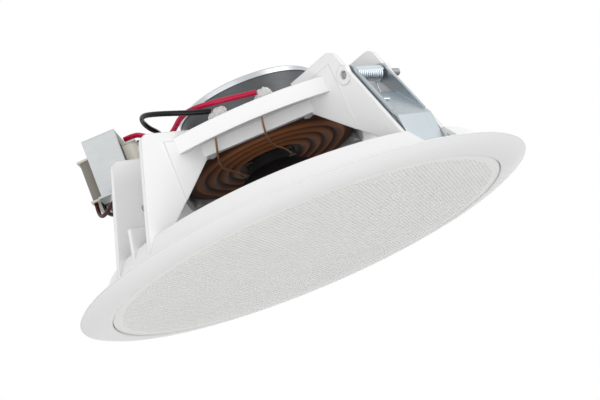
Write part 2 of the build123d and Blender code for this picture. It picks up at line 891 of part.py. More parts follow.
def terminal_clamp_screws():
    screws = []
    depth = block_depth / 2 - primary_diameter / 2 - pin_fit
    for x in block_way_places():
        screw = rod((x, block_front, 0), (x, block_front + depth, 0), block_screw_diameter / 2 - pin_fit)
        screws.append(on_block_leg() * screw)
    return Compound(children=screws)


# Corner radii of a lead's route: as large as its two runs allow
def route_radii(points):
    radii = []
    for before, here, after in zip(points, points[1:], points[2:]):
        run_in = Vector(*here) - Vector(*before)
        run_out = Vector(*after) - Vector(*here)
        turn = radians(run_in.get_angle(run_out))
        radii.append(route_corner_share * min(run_in.length, run_out.length) / tan(turn / 2))
    return radii


def lead(name, points, diameter):
    radii = route_radii(points)
    path = FilletPolyline(*points, radius=radii)
    tube = sweep(Plane(origin=path @ 0, z_dir=path % 0) * Circle(diameter / 2), path=path)
    share = tube.volume / (pi * diameter**2 / 4 * path.length)
    print(name, "length", round(path.length, 1), "volume share", round(share, 4),
          "radii", [round(radius, 1) for radius in radii])
    return tube


def build():
    pieces = {
        "basket_frame": basket_frame(),
        "grille": grille(),
        "cone": cone(),
        "dust_cap": dust_cap(),
        "voice_coil_former": voice_coil_former(),
        "voice_coil_winding": voice_coil_winding(),
        "surround": surround(),
        "surround_gasket": surround_gasket(),
        "spider": spider(),
        "front_plate": front_plate(),
        "ferrite_magnet": ferrite_magnet(),
        "pole_yoke": pole_yoke(),
        "magnet_screws": magnet_screws(),
        "transformer_core": transformer_core(),
        "transformer_bobbin": transformer_bobbin(),
        "transformer_winding": transformer_winding(),
        "transformer_bracket": transformer_bracket(),
        "transformer_screws": transformer_screws(),
        "tag_rivets": tag_rivets(),
        "terminal_block": terminal_block(),
        "terminal_fixing_screw": terminal_fixing_screw(),
        "terminal_clamp_screws": terminal_clamp_screws(),
        "red_lead": lead("red_lead", red_route, hookup_diameter),
        "black_lead": lead("black_lead", black_route, hookup_diameter),
    }
    for place, angle, tail_side in zip(("front", "rear"), clamp_angles, (1, -1)):
        pieces["clamp_arm_" + place] = Rot(0, 0, angle) * clamp_arm()
        pieces["clamp_spring_" + place] = Rot(0, 0, angle) * clamp_spring()
        pieces["clamp_pin_" + place] = Rot(0, 0, angle) * clamp_pin(tail_side)
    for colour, route in primary_routes.items():
        pieces["primary_lead_" + colour] = lead("primary_lead_" + colour, route, primary_diameter)
    for pole, hookup_route in (("positive", red_route), ("negative", black_route)):
        x, y = tag_places[pole]
        pieces["solder_tag_" + pole] = solder_tag(x, y)
        pieces["tinsel_lead_" + pole] = lead("tinsel_lead_" + pole, tinsel_routes[pole], tinsel_diameter)
        pieces["lead_bead_" + pole] = lead_bead(x, y, hookup_route, tinsel_routes[pole])
    return pieces


if __name__ == "__main__":
    os.makedirs("parts", exist_ok=True)
    for name, piece in build().items():
        export_step(piece, "parts/" + name + ".step")
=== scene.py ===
import math
import bpy
import numpy as np
from mathutils import Matrix, Vector


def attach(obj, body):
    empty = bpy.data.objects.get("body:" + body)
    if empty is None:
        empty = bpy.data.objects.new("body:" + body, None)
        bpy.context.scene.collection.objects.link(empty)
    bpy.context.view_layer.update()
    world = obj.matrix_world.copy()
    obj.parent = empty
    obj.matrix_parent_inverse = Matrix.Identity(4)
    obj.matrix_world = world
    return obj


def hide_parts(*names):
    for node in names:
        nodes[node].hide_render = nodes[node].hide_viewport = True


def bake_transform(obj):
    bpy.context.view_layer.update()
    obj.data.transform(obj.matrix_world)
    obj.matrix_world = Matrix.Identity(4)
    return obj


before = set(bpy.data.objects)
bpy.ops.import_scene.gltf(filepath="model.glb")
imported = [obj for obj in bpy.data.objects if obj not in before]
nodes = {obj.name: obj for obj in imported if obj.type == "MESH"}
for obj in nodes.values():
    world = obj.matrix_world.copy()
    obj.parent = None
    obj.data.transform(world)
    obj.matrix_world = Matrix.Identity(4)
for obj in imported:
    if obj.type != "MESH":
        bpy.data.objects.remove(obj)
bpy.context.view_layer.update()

mm = 0.001
weld = 1e-6  # metres
print("frame loaded:", len(nodes), "nodes")


# Small helpers for modelling by hand

def deselectAll():
    if bpy.context.object and bpy.context.object.mode != "OBJECT":
        bpy.ops.object.mode_set(mode="OBJECT")
    bpy.ops.object.select_all(action="DESELECT")


def takeUp(piece):
    deselectAll()
    piece.select_set(True)
    bpy.context.view_layer.objects.active = piece


def named(piece, name):
    piece.name = name
    piece.data.name = name
    return piece


def newest(name):
    return named(bpy.context.object, name)


def editStart(piece, mode="VERT"):
    takeUp(piece)
    bpy.ops.object.mode_set(mode="EDIT")
    bpy.ops.mesh.select_mode(type=mode)
    bpy.ops.mesh.select_all(action="DESELECT")


def editEnd():
    bpy.ops.object.mode_set(mode="OBJECT")


def pick(piece, kind, test):  # selects vertices, edges or faces by place, from edit mode
    bpy.ops.mesh.select_all(action="DESELECT")
    bpy.ops.object.mode_set(mode="OBJECT")
    for item in getattr(piece.data, kind):
        item.select = test(item)
    bpy.ops.object.mode_set(mode="EDIT")


def modify(piece, kind, **values):
    takeUp(piece)
    modifier = piece.modifiers.new(kind.lower(), kind)
    for key, value in values.items():
        setattr(modifier, key, value)
    bpy.ops.object.modifier_apply(modifier=modifier.name)


def repeat(piece, count, step):
    modify(piece, "ARRAY", count=count, use_relative_offset=False, use_constant_offset=True,
           constant_offset_displace=step)


def settle(piece):  # puts the object's place into its mesh
    takeUp(piece)
    bpy.ops.object.transform_apply(location=True, rotation=True, scale=True)


def tidyNormals(piece):
    editStart(piece)
    bpy.ops.mesh.select_all(action="SELECT")
    bpy.ops.mesh.remove_doubles(threshold=weld)
    bpy.ops.mesh.normals_make_consistent(inside=False)
    editEnd()


def smooth(piece, degrees):
    takeUp(piece)
    bpy.ops.object.shade_smooth_by_angle(angle=math.radians(degrees))


def join(first, *others):
    takeUp(first)
    for piece in others:
        piece.select_set(True)
    bpy.ops.object.join()
    return first


def onLeg(angle, along, side, height):  # a place on a leg, in metres
    a = math.radians(angle)
    x = along * math.cos(a) - side * math.sin(a)
    y = along * math.sin(a) + side * math.cos(a)
    return Vector((x, y, height)) * mm


# Shared effects as node groups

def makeGroup(name, inputs, outputs):
    group = bpy.data.node_groups.new(name, "ShaderNodeTree")
    for title, kind, value in inputs:
        made = group.interface.new_socket(title, in_out="INPUT", socket_type="NodeSocket" + kind)
        made.default_value = value
    for title, kind in outputs:
        group.interface.new_socket(title, in_out="OUTPUT", socket_type="NodeSocket" + kind)
    return group, group.nodes.new("NodeGroupInput"), group.nodes.new("NodeGroupOutput")


def addNode(tree, kind, **values):
    node = tree.nodes.new("ShaderNode" + kind)
    for key, value in values.items():
        setattr(node, key, value)
    return node


mixSocket = {"factor": 0, "first": 6, "second": 7, "result": 2}  # a colour mix's own socket numbers


def blendColour(tree, factor, first, second):
    mix = addNode(tree, "Mix", data_type="RGBA")
    tree.links.new(factor, mix.inputs[mixSocket["factor"]])
    tree.links.new(first, mix.inputs[mixSocket["first"]])
    tree.links.new(second, mix.inputs[mixSocket["second"]])
    return mix.outputs[mixSocket["result"]]


noiseSpan = {"low": 0.3, "high": 0.7}  # where nearly all of a noise lies


def spread(tree, value, low, high):  # stretches a noise between two sockets' numbers
    span = addNode(tree, "MapRange")
    span.inputs["From Min"].default_value = noiseSpan["low"]
    span.inputs["From Max"].default_value = noiseSpan["high"]
    tree.links.new(value, span.inputs["Value"])
    tree.links.new(low, span.inputs["To Min"])
    tree.links.new(high, span.inputs["To Max"])
    return span.outputs["Result"]


grain = {"cloudDetail": 4, "skinDetail": 2}


def fineGrain():  # soft cloudy colour with a fine skin, for mouldings, paint, paper and lead skins
    group, given, put = makeGroup(
        "fineGrain",
        [("Colour", "Color", (0.8, 0.8, 0.8, 1)), ("Shade", "Color", (0.7, 0.7, 0.7, 1)),
         ("Cloud Scale", "Float", 30), ("Skin Scale", "Float", 900),
         ("Rough Low", "Float", 0.3), ("Rough High", "Float", 0.45)],
        [("Colour", "Color"), ("Roughness", "Float"), ("Height", "Float")])
    place = addNode(group, "TexCoord")
    cloud = addNode(group, "TexNoise")
    cloud.inputs["Detail"].default_value = grain["cloudDetail"]
    skin = addNode(group, "TexNoise")
    skin.inputs["Detail"].default_value = grain["skinDetail"]
    group.links.new(place.outputs["Object"], cloud.inputs["Vector"])
    group.links.new(place.outputs["Object"], skin.inputs["Vector"])
    group.links.new(given.outputs["Cloud Scale"], cloud.inputs["Scale"])
    group.links.new(given.outputs["Skin Scale"], skin.inputs["Scale"])
    colour = blendColour(group, cloud.outputs["Fac"], given.outputs["Colour"], given.outputs["Shade"])
    group.links.new(colour, put.inputs["Colour"])
    rough = spread(group, cloud.outputs["Fac"], given.outputs["Rough Low"], given.outputs["Rough High"])
    group.links.new(rough, put.inputs["Roughness"])
    group.links.new(skin.outputs["Fac"], put.inputs["Height"])
    return group


plate = {"streakDetail": 5, "cloudScale": 55, "cloudShare": 0.5, "spangleShare": 0.25}


def platedSteel():  # rolled streaks and a faint spangle, for the metal parts
    group, given, put = makeGroup(
        "platedSteel",
        [("Colour", "Color", (0.7, 0.74, 0.78, 1)), ("Shade", "Color", (0.5, 0.54, 0.6, 1)),
         ("Streak Scale", "Vector", (60, 60, 900)), ("Spangle Scale", "Float", 240),
         ("Rough Low", "Float", 0.22), ("Rough High", "Float", 0.42)],
        [("Colour", "Color"), ("Roughness", "Float"), ("Height", "Float")])
    place = addNode(group, "TexCoord")
    stretch = addNode(group, "VectorMath", operation="MULTIPLY")
    streak = addNode(group, "TexNoise")
    streak.inputs["Scale"].default_value = 1
    streak.inputs["Detail"].default_value = plate["streakDetail"]
    spangle = addNode(group, "TexVoronoi")
    cloud = addNode(group, "TexNoise")
    cloud.inputs["Scale"].default_value = plate["cloudScale"]
    group.links.new(place.outputs["Object"], stretch.inputs[0])
    group.links.new(given.outputs["Streak Scale"], stretch.inputs[1])
    group.links.new(stretch.outputs["Vector"], streak.inputs["Vector"])
    group.links.new(place.outputs["Object"], spangle.inputs["Vector"])
    group.links.new(given.outputs["Spangle Scale"], spangle.inputs["Scale"])
    group.links.new(place.outputs["Object"], cloud.inputs["Vector"])
    both = addNode(group, "Math", operation="ADD")
    group.links.new(streak.outputs["Fac"], both.inputs[0])
    group.links.new(cloud.outputs["Fac"], both.inputs[1])
    patch = addNode(group, "Math", operation="MULTIPLY")
    patch.inputs[1].default_value = plate["cloudShare"]
    group.links.new(both.outputs["Value"], patch.inputs[0])
    colour = blendColour(group, patch.outputs["Value"], given.outputs["Colour"], given.outputs["Shade"])
    group.links.new(colour, put.inputs["Colour"])
    rough = spread(group, patch.outputs["Value"], given.outputs["Rough Low"], given.outputs["Rough High"])
    group.links.new(rough, put.inputs["Roughness"])
    lift = addNode(group, "Math", operation="MULTIPLY_ADD")
    lift.inputs[1].default_value = plate["spangleShare"]
    group.links.new(spangle.outputs["Distance"], lift.inputs[0])
    group.links.new(streak.outputs["Fac"], lift.inputs[2])
    group.links.new(lift.outputs["Value"], put.inputs["Height"])
    return group


weave = {"wander": 0.6, "cloudDetail": 5}


def ringWeave():  # cloth woven square, on turned sheets, with painted shade: darker above a given height, where a wave stands back
    group, given, put = makeGroup(
        "ringWeave",
        [("Colour", "Color", (0.3, 0.14, 0.06, 1)), ("Shade", "Color", (0.12, 0.05, 0.02, 1)),
         ("Painted Groove Shade", "Color", (0.03, 0.01, 0.01, 1)), ("Painted Groove Shade From", "Float", 1), ("Painted Groove Shade To", "Float", 2),
         ("Thread Scale", "Float", 1500), ("Cloud Scale", "Float", 60)],
        [("Colour", "Color"), ("Height", "Float")])
    place = addNode(group, "TexCoord")
    warp = addNode(group, "TexWave", bands_direction="X")
    weft = addNode(group, "TexWave", bands_direction="Y")
    for thread in (warp, weft):
        group.links.new(place.outputs["Object"], thread.inputs["Vector"])
        group.links.new(given.outputs["Thread Scale"], thread.inputs["Scale"])
        thread.inputs["Distortion"].default_value = weave["wander"]
    cross = addNode(group, "Math", operation="MULTIPLY")
    group.links.new(warp.outputs["Fac"], cross.inputs[0])
    group.links.new(weft.outputs["Fac"], cross.inputs[1])
    cloud = addNode(group, "TexNoise")
    cloud.inputs["Detail"].default_value = weave["cloudDetail"]
    group.links.new(place.outputs["Object"], cloud.inputs["Vector"])
    group.links.new(given.outputs["Cloud Scale"], cloud.inputs["Scale"])
    colour = blendColour(group, cloud.outputs["Fac"], given.outputs["Colour"], given.outputs["Shade"])
    split = addNode(group, "SeparateXYZ")
    group.links.new(place.outputs["Object"], split.inputs["Vector"])
    # painted shade in the grooves: the colour turns to the groove shade colour over a span of heights
    sunk = addNode(group, "MapRange")
    group.links.new(split.outputs["Z"], sunk.inputs["Value"])
    group.links.new(given.outputs["Painted Groove Shade From"], sunk.inputs["From Min"])
    group.links.new(given.outputs["Painted Groove Shade To"], sunk.inputs["From Max"])
    colour = blendColour(group, sunk.outputs["Result"], colour, given.outputs["Painted Groove Shade"])
    group.links.new(colour, put.inputs["Colour"])
    group.links.new(cross.outputs["Value"], put.inputs["Height"])
    return group


effects = {"grain": fineGrain(), "plate": platedSteel(), "weave": ringWeave()}
print("shared effects:", ", ".join(effects))


# Finishes: what each surface is made of

scaleTitles = {"cloud": "Cloud Scale", "skin": "Skin Scale", "streak": "Streak Scale",
               "spangle": "Spangle Scale", "thread": "Thread Scale"}
spanTitles = {"rough": ("Rough Low", "Rough High"), "sunk": ("Painted Groove Shade From", "Painted Groove Shade To")}
cornerSamples = 6


def look(colour, shade, paintedGrooveShade=None, **others):  # values for an effect's inputs
    inputs = {"Colour": (*colour, 1), "Shade": (*shade, 1)}
    # a colour of painted shade for the grooves of the weave
    if paintedGrooveShade:
        inputs["Painted Groove Shade"] = (*paintedGrooveShade, 1)
    for key, value in others.items():
        if key in spanTitles:
            inputs.update(zip(spanTitles[key], value))
        else:
            inputs[scaleTitles[key]] = value
    return inputs


def makeFinish(name, effect, inputs, bump, depth=0.0002, roughness=None, soften=0.0, **sockets):
    material = bpy.data.materials.new(name)
    material.use_nodes = True
    tree = material.node_tree
    shader = tree.nodes["Principled BSDF"]
    surface = addNode(tree, "Group", node_tree=effects[effect])
    for key, value in inputs.items():
        surface.inputs[key].default_value = value
    tree.links.new(surface.outputs["Colour"], shader.inputs["Base Color"])
    if roughness is None:
        tree.links.new(surface.outputs["Roughness"], shader.inputs["Roughness"])
    else:
        shader.inputs["Roughness"].default_value = roughness
    relief = addNode(tree, "Bump")
    relief.inputs["Strength"].default_value = bump
    relief.inputs["Distance"].default_value = depth
    tree.links.new(surface.outputs["Height"], relief.inputs["Height"])
    if soften:  # rounds the corners in the light
        corner = addNode(tree, "Bevel", samples=cornerSamples)
        corner.inputs["Radius"].default_value = soften
        tree.links.new(corner.outputs["Normal"], relief.inputs["Normal"])
    tree.links.new(relief.outputs["Normal"], shader.inputs["Normal"])
    for key, value in sockets.items():
        shader.inputs[key.replace("_", " ")].default_value = value
    return material


finishes = {
    "moulding": makeFinish(
        "satinWhiteMoulding", "grain",
        look((0.85, 0.85, 0.855), (0.80, 0.80, 0.80), cloud=14, skin=700, rough=(0.34, 0.46)),
        bump=0.05, soften=0.0009, IOR=1.49),
    "grille": makeFinish(
        "whitePowderCoat", "grain",
        look((0.88, 0.878, 0.862), (0.84, 0.838, 0.822), cloud=20, skin=2200, rough=(0.45, 0.58)),
        bump=0.16, IOR=1.48),
    "cone": makeFinish(
        "blackConePaper", "grain",
        look((0.006, 0.006, 0.007), (0.016, 0.015, 0.015), cloud=90, skin=1300, rough=(0.62, 0.8)),
        bump=0.4, IOR=1.4),
    "gasket": makeFinish(
        "blackGasketCard", "grain",
        look((0.02, 0.02, 0.02), (0.035, 0.033, 0.03), cloud=60, skin=800, rough=(0.8, 0.95)),
        bump=0.4),
    # the spider's colour holds painted shade, darker over the upper part of its waves
    "spider": makeFinish(
        "brownSpiderCloth", "weave",
        look((0.50, 0.19, 0.075), (0.36, 0.13, 0.05), paintedGrooveShade=(0.07, 0.026, 0.011), sunk=(0.0456, 0.0473),
             thread=900, cloud=45),
        bump=0.35, depth=0.0003, roughness=0.62, IOR=1.45),
    "surround": makeFinish(
        "blackSurroundCloth", "weave",
        look((0.018, 0.018, 0.019), (0.03, 0.029, 0.028), thread=900, cloud=40),
        bump=0.3, depth=0.0003, roughness=0.7),
    "ferrite": makeFinish(
        "greyFerrite", "plate",
        look((0.105, 0.11, 0.115), (0.06, 0.064, 0.07),
             streak=(140, 140, 700), spangle=900, rough=(0.3, 0.45)),
        bump=0.12, Metallic=0.55),
    "yoke": makeFinish(
        "brightYokePlate", "plate",
        look((0.60, 0.62, 0.64), (0.46, 0.48, 0.50),
             streak=(500, 500, 60), spangle=300, rough=(0.24, 0.38)),
        bump=0.06, Metallic=1.0),
    "clamp": makeFinish(
        "blueZincSheet", "plate",
        look((0.53, 0.585, 0.61), (0.38, 0.425, 0.455),
             streak=(260, 260, 60), spangle=260, rough=(0.22, 0.40)),
        bump=0.08, soften=0.0005, Metallic=1.0),
    "wire": makeFinish(
        "zincSpringWire", "plate",
        look((0.80, 0.86, 0.90), (0.60, 0.66, 0.72),
             streak=(900, 900, 900), spangle=900, rough=(0.18, 0.3)),
        bump=0.05, Metallic=1.0),
    "pin": makeFinish(
        "greyPinSteel", "plate",
        look((0.42, 0.42, 0.43), (0.28, 0.28, 0.29),
             streak=(900, 900, 900), spangle=700, rough=(0.3, 0.45)),
        bump=0.08, Metallic=1.0),
    "bracket": makeFinish(
        "paleBracketZinc", "plate",
        look((0.565, 0.585, 0.585), (0.47, 0.49, 0.495),
             streak=(90, 90, 400), spangle=180, rough=(0.40, 0.55)),
        bump=0.1, soften=0.0004, Metallic=0.55),
    "lamination": makeFinish(
        "darkLaminationSteel", "plate",
        look((0.05, 0.055, 0.065), (0.025, 0.027, 0.032),
             streak=(1500, 100, 100), spangle=600, rough=(0.35, 0.55)),
        bump=0.2, Metallic=0.7),
    "bobbin": makeFinish(
        "ivoryBobbin", "grain",
        look((0.72, 0.70, 0.62), (0.62, 0.60, 0.52), cloud=60, skin=900, rough=(0.4, 0.55)),
        bump=0.08, soften=0.0003),
    "coil": makeFinish(
        "ivoryCoilTape", "grain",
        look((0.88, 0.86, 0.76), (0.75, 0.73, 0.64), cloud=55, skin=500, rough=(0.38, 0.6)),
        bump=0.25),
    "tag": makeFinish(
        "tinnedTag", "plate",
        look((0.70, 0.69, 0.64), (0.52, 0.50, 0.44),
             streak=(300, 300, 300), spangle=500, rough=(0.25, 0.4)),
        bump=0.1, Metallic=1.0),
    "copper": makeFinish(
        "copperWinding", "plate",
        look((0.62, 0.26, 0.11), (0.42, 0.15, 0.06),
             streak=(80, 80, 2500), spangle=500, rough=(0.25, 0.4)),
        bump=0.3, Metallic=1.0),
    "tinsel": makeFinish(
        "copperTinsel", "plate",
        look((0.62, 0.34, 0.19), (0.42, 0.21, 0.11),
             streak=(1800, 1800, 1800), spangle=1500, rough=(0.35, 0.5)),
        bump=0.2, Metallic=0.75),
    "red": makeFinish(
        "redLeadSkin", "grain",
        look((0.50, 0.0025, 0.05), (0.40, 0.002, 0.04), cloud=120, skin=1500, rough=(0.16, 0.26)),
        bump=0.05, IOR=1.35),
    "black": makeFinish(
        "blackLeadSkin", "grain",
        look((0.003, 0.003, 0.0035), (0.006, 0.006, 0.0065), cloud=120, skin=1500, rough=(0.10, 0.18)),
        bump=0.04, IOR=1.3),
    "maroon": makeFinish(
        "maroonLeadSkin", "grain",
        look((0.055, 0.003, 0.008), (0.04, 0.002, 0.006), cloud=120, skin=1500, rough=(0.45, 0.6)),
        bump=0.05, IOR=1.3),
    "bead": makeFinish(
        "milkyAdhesive", "grain",
        look((0.88, 0.88, 0.87), (0.80, 0.80, 0.79), cloud=200, skin=400, rough=(0.2, 0.4)),
        bump=0.15, IOR=1.48, Transmission_Weight=0.35),
    "glue": makeFinish(
        "greyConeGlue", "grain",
        look((0.10, 0.10, 0.10), (0.05, 0.05, 0.05), cloud=300, skin=900, rough=(0.25, 0.4)),
        bump=0.1),
    "nylon": makeFinish(
        "whiteBlockNylon", "grain",
        look((0.78, 0.78, 0.76), (0.70, 0.70, 0.68), cloud=40, skin=800, rough=(0.4, 0.55)),
        bump=0.06, soften=0.0005),
}
print("finishes:", len(finishes))


band = {"colour": (0.19, 0.175, 0.145), "from": -0.074, "to": -0.0745}


def deeperBand(material):  # darker colour past a place along X, at the coil's end towards -X
    tree = material.node_tree
    base = tree.nodes["Principled BSDF"].inputs["Base Color"]
    plain = base.links[0].from_socket
    place = addNode(tree, "TexCoord")
    split = addNode(tree, "SeparateXYZ")
    tree.links.new(place.outputs["Object"], split.inputs["Vector"])
    past = addNode(tree, "MapRange")
    past.inputs["From Min"].default_value = band["to"]
    past.inputs["From Max"].default_value = band["from"]
    tree.links.new(split.outputs["X"], past.inputs["Value"])
    deeper = addNode(tree, "Mix", data_type="RGBA")
    deeper.inputs[mixSocket["first"]].default_value = (*band["colour"], 1)
    tree.links.new(past.outputs["Result"], deeper.inputs[mixSocket["factor"]])
    tree.links.new(plain, deeper.inputs[mixSocket["second"]])
    tree.links.new(deeper.outputs[mixSocket["result"]], base)


deeperBand(finishes["coil"])
print("tape wrap on the coil")


def paint(piece, finish):
    piece.data.materials.clear()
    piece.data.materials.append(finishes[finish])


nodeFinish = {
    "basket_frame": "moulding", "cone": "cone", "dust_cap": "cone", "voice_coil_former": "cone",
    "voice_coil_winding": "copper", "surround_gasket": "gasket", "front_plate": "yoke",
    "ferrite_magnet": "ferrite", "pole_yoke": "yoke", "magnet_screws": "bracket",
    "transformer_bobbin": "bobbin", "transformer_winding": "coil", "transformer_bracket": "bracket",
    "transformer_screws": "bracket", "tag_rivets": "tag", "terminal_block": "nylon",
    "terminal_fixing_screw": "bracket", "terminal_clamp_screws": "bracket", "clamp_arm_front": "clamp",
    "clamp_arm_rear": "clamp", "clamp_pin_front": "pin", "clamp_pin_rear": "pin",
    "solder_tag_positive": "tag", "solder_tag_negative": "tag",
}
for nodeName, finishName in nodeFinish.items():
    for place in nodes[nodeName].material_slots:
        place.material = finishes[finishName]
print("frame parts painted:", len(nodeFinish))


# Perforated grille: one hexagon cell with a hole, laid out in rows and cut to a disc

grille = {"pitch": 1.82, "hole": 0.65, "corners": 6, "lattice": 79.0, "holesTo": 95.6, "spareCells": 5,
          "margin": 97.0, "ring": 360, "fold": [(99.5, 0.0), (100.0, 0.2), (100.2, 0.7), (100.2, 1.95)],
          "front": -4.2, "sheet": 0.8, "near": 0.01, "smooth": 40}


def layCells():
    corners, pitch, apothem = grille["corners"], grille["pitch"], grille["pitch"] / 2
    deselectAll()
    bpy.ops.mesh.primitive_circle_add(
        vertices=corners, radius=pitch / math.sqrt(3), fill_type="NGON", location=(0, 0, 0))
    sheet = newest("grilleSheet")
    bpy.ops.object.mode_set(mode="EDIT")
    bpy.ops.mesh.select_all(action="SELECT")
    bpy.ops.mesh.inset(thickness=apothem - grille["hole"] * math.cos(math.pi / corners))
    bpy.ops.mesh.delete(type="FACE")
    editEnd()
    rise = apothem * math.sqrt(3)
    rows = 2 * int(grille["holesTo"] / rise) + grille["spareCells"]
    across = 2 * int(grille["holesTo"] / pitch) + grille["spareCells"] + rows // 2
    repeat(sheet, across, (pitch, 0, 0))  # the cell's corners point along Y, so the rows run along X
    repeat(sheet, rows, (apothem, rise, 0))
    middle = Vector(((across - 1) * pitch / 2 + (rows - 1) * apothem / 2, (rows - 1) * rise / 2, 0))
    turn = Matrix.Rotation(math.radians(grille["lattice"]), 4, "Z")
    sheet.data.transform(turn @ Matrix.Translation(-middle))
    return sheet


def cutToDisc(sheet):
    mesh, corners = sheet.data, grille["corners"]
    centres = np.zeros(len(mesh.polygons) * 3)
    mesh.polygons.foreach_get("center", centres)
    cells = centres.reshape(-1, corners, 3).mean(axis=1)
    outside = np.hypot(cells[:, 0], cells[:, 1]) > grille["holesTo"]
    editStart(sheet, "FACE")
    editEnd()
    mesh.polygons.foreach_set("select", np.repeat(outside, corners))
    bpy.ops.object.mode_set(mode="EDIT")
    bpy.ops.mesh.delete(type="FACE")
    bpy.ops.mesh.select_mode(type="VERT")
    bpy.ops.mesh.select_all(action="SELECT")
    bpy.ops.mesh.remove_doubles(threshold=grille["near"])
    editEnd()
    print("grille:", int((~outside).sum()), "holes")


def addMargin(sheet):
    deselectAll()
    bpy.ops.mesh.primitive_circle_add(vertices=grille["ring"], radius=grille["margin"], location=(0, 0, 0))
    join(sheet, newest("grilleRing"))
    mesh = sheet.data
    loops = np.zeros(len(mesh.loops), int)
    mesh.loops.foreach_get("edge_index", loops)
    uses = np.bincount(loops, minlength=len(mesh.edges))
    places = [vertex.co.copy() for vertex in mesh.vertices]

    def onOutline(edge):  # the ring, or a cell's open side, which is longer than a hole's
        first, second = edge.vertices
        long = (places[first] - places[second]).length > grille["pitch"] / 2
        return uses[edge.index] == 0 or (uses[edge.index] == 1 and long)

    editStart(sheet, "EDGE")
    pick(sheet, "edges", onOutline)
    bpy.ops.mesh.fill(use_beauty=True)
    editEnd()


def foldEdge(sheet):  # the plain margin, the folded edge and its return
    mesh, near = sheet.data, grille["near"]
    reach, level = grille["margin"], 0.0

    def onRim(edge):
        ends = [mesh.vertices[v].co for v in edge.vertices]
        return all(abs(end.xy.length - reach) < near and abs(end.z - level) < near for end in ends)

    editStart(sheet, "EDGE")
    for radius, drop in grille["fold"]:
        pick(sheet, "edges", onRim)
        bpy.ops.mesh.extrude_edges_move()
        editEnd()
        for vertex in mesh.vertices:
            if vertex.select:
                flat = vertex.co.xy.normalized() * radius
                vertex.co = (flat.x, flat.y, drop)
        bpy.ops.object.mode_set(mode="EDIT")
        reach, level = radius, drop
    editEnd()


def buildGrille():
    sheet = layCells()
    cutToDisc(sheet)
    addMargin(sheet)
    foldEdge(sheet)
    sheet.data.transform(Matrix.Translation((0, 0, grille["front"] * mm)) @ Matrix.Scale(mm, 4))
    tidyNormals(sheet)
    if sheet.data.polygons[0].normal.z > 0:
        sheet.data.flip_normals()
    editStart(sheet, "FACE")
    pick(sheet, "polygons", lambda face: face.center.x > 0)
    bpy.ops.mesh.separate(type="SELECTED")
    editEnd()
    halves = list(bpy.context.selected_objects)
    for half, side in zip(halves, ("left", "right")):
        named(half, "grilleSheet." + side)
        modify(half, "SOLIDIFY", thickness=grille["sheet"] * mm, offset=-1)
        smooth(half, grille["smooth"])
        paint(half, "grille")
        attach(half, "frame")
        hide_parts("grille")
        print("grille half:", half.name, len(half.data.polygons), "faces")


buildGrille()


# Turned cloth sheets: a profile spun round the axis, then given its thickness

cloth = {"smooth": 50}


def spinProfile(name, profile, steps, thickness):
    deselectAll()
    bpy.ops.mesh.primitive_plane_add(size=1, location=(0, 0, 0))
    sheet = newest(name)
    editStart(sheet)
    bpy.ops.mesh.select_all(action="SELECT")
    bpy.ops.mesh.merge(type="CENTER")
    bpy.ops.transform.translate(value=(profile[0][0], 0, profile[0][1]))
    for before, after in zip(profile, profile[1:]):
        bpy.ops.mesh.extrude_region_move(
            TRANSFORM_OT_translate={"value": (after[0] - before[0], 0, after[1] - before[1])})
    bpy.ops.mesh.select_all(action="SELECT")
    bpy.ops.mesh.spin(steps=steps, angle=2 * math.pi, center=(0, 0, 0), axis=(0, 0, 1))
    editEnd()
    sheet.data.transform(Matrix.Scale(mm, 4))
    tidyNormals(sheet)
    modify(sheet, "SOLIDIFY", thickness=thickness * mm, offset=0)
    smooth(sheet, cloth["smooth"])
    return sheet


def followCone(sheet):  # puts the object's place into its mesh
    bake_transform(sheet)


spider = {"inner": 12.95, "lap": 1.0, "waveFrom": 15.6, "waveTo": 40.5, "outer": 45.2, "waves": 4,
          "stepsPerWave": 12, "level": 47.25, "depth": 1.6, "sheet": 0.5, "steps": 96}


def buildSpider():
    profile = [(spider["inner"], spider["level"])]
    count = spider["waves"] * spider["stepsPerWave"]
    for step in range(count + 1):
        share = step / count
        radius = spider["waveFrom"] + share * (spider["waveTo"] - spider["waveFrom"])
        sink = spider["depth"] / 2 * (1 - math.cos(2 * math.pi * spider["waves"] * share))
        profile.append((radius, spider["level"] - sink))
    profile.append((spider["outer"], spider["level"]))
    sheet = spinProfile("spiderCloth", profile, spider["steps"], spider["sheet"])
    paint(sheet, "spider")
    followCone(sheet)
    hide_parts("spider")
    print("spider:", len(sheet.data.polygons), "faces")


surround = {"lapIn": 75.6, "rollIn": 79.2, "rollOut": 85.4, "outer": 89.9, "lapLevel": 2.05,
            "seatLevel": 1.3, "rise": 4.0, "rollSteps": 12, "sheet": 0.5, "steps": 128}


def buildSurround():
    profile = [(surround["lapIn"], surround["lapLevel"])]
    half = (surround["rollOut"] - surround["rollIn"]) / 2
    for step in range(surround["rollSteps"] + 1):
        share = step / surround["rollSteps"]
        radius = surround["rollIn"] + half * (1 - math.cos(math.pi * share))
        level = surround["lapLevel"] + (surround["seatLevel"] - surround["lapLevel"]) * share
        profile.append((radius, level + surround["rise"] * math.sin(math.pi * share)))
    profile.append((surround["outer"], surround["seatLevel"]))
    sheet = spinProfile("surroundRoll", profile, surround["steps"], surround["sheet"])
    paint(sheet, "surround")
    followCone(sheet)
    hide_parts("surround")
    print("surround:", len(sheet.data.polygons), "faces")


buildSpider()
buildSurround()


# Curves along points: bent wire as a mesh, and leads on a smooth spline

bent = {"bevelSteps": 2, "smooth": 60}
soft = {"bevelSteps": 4, "steps": 8, "order": 3}


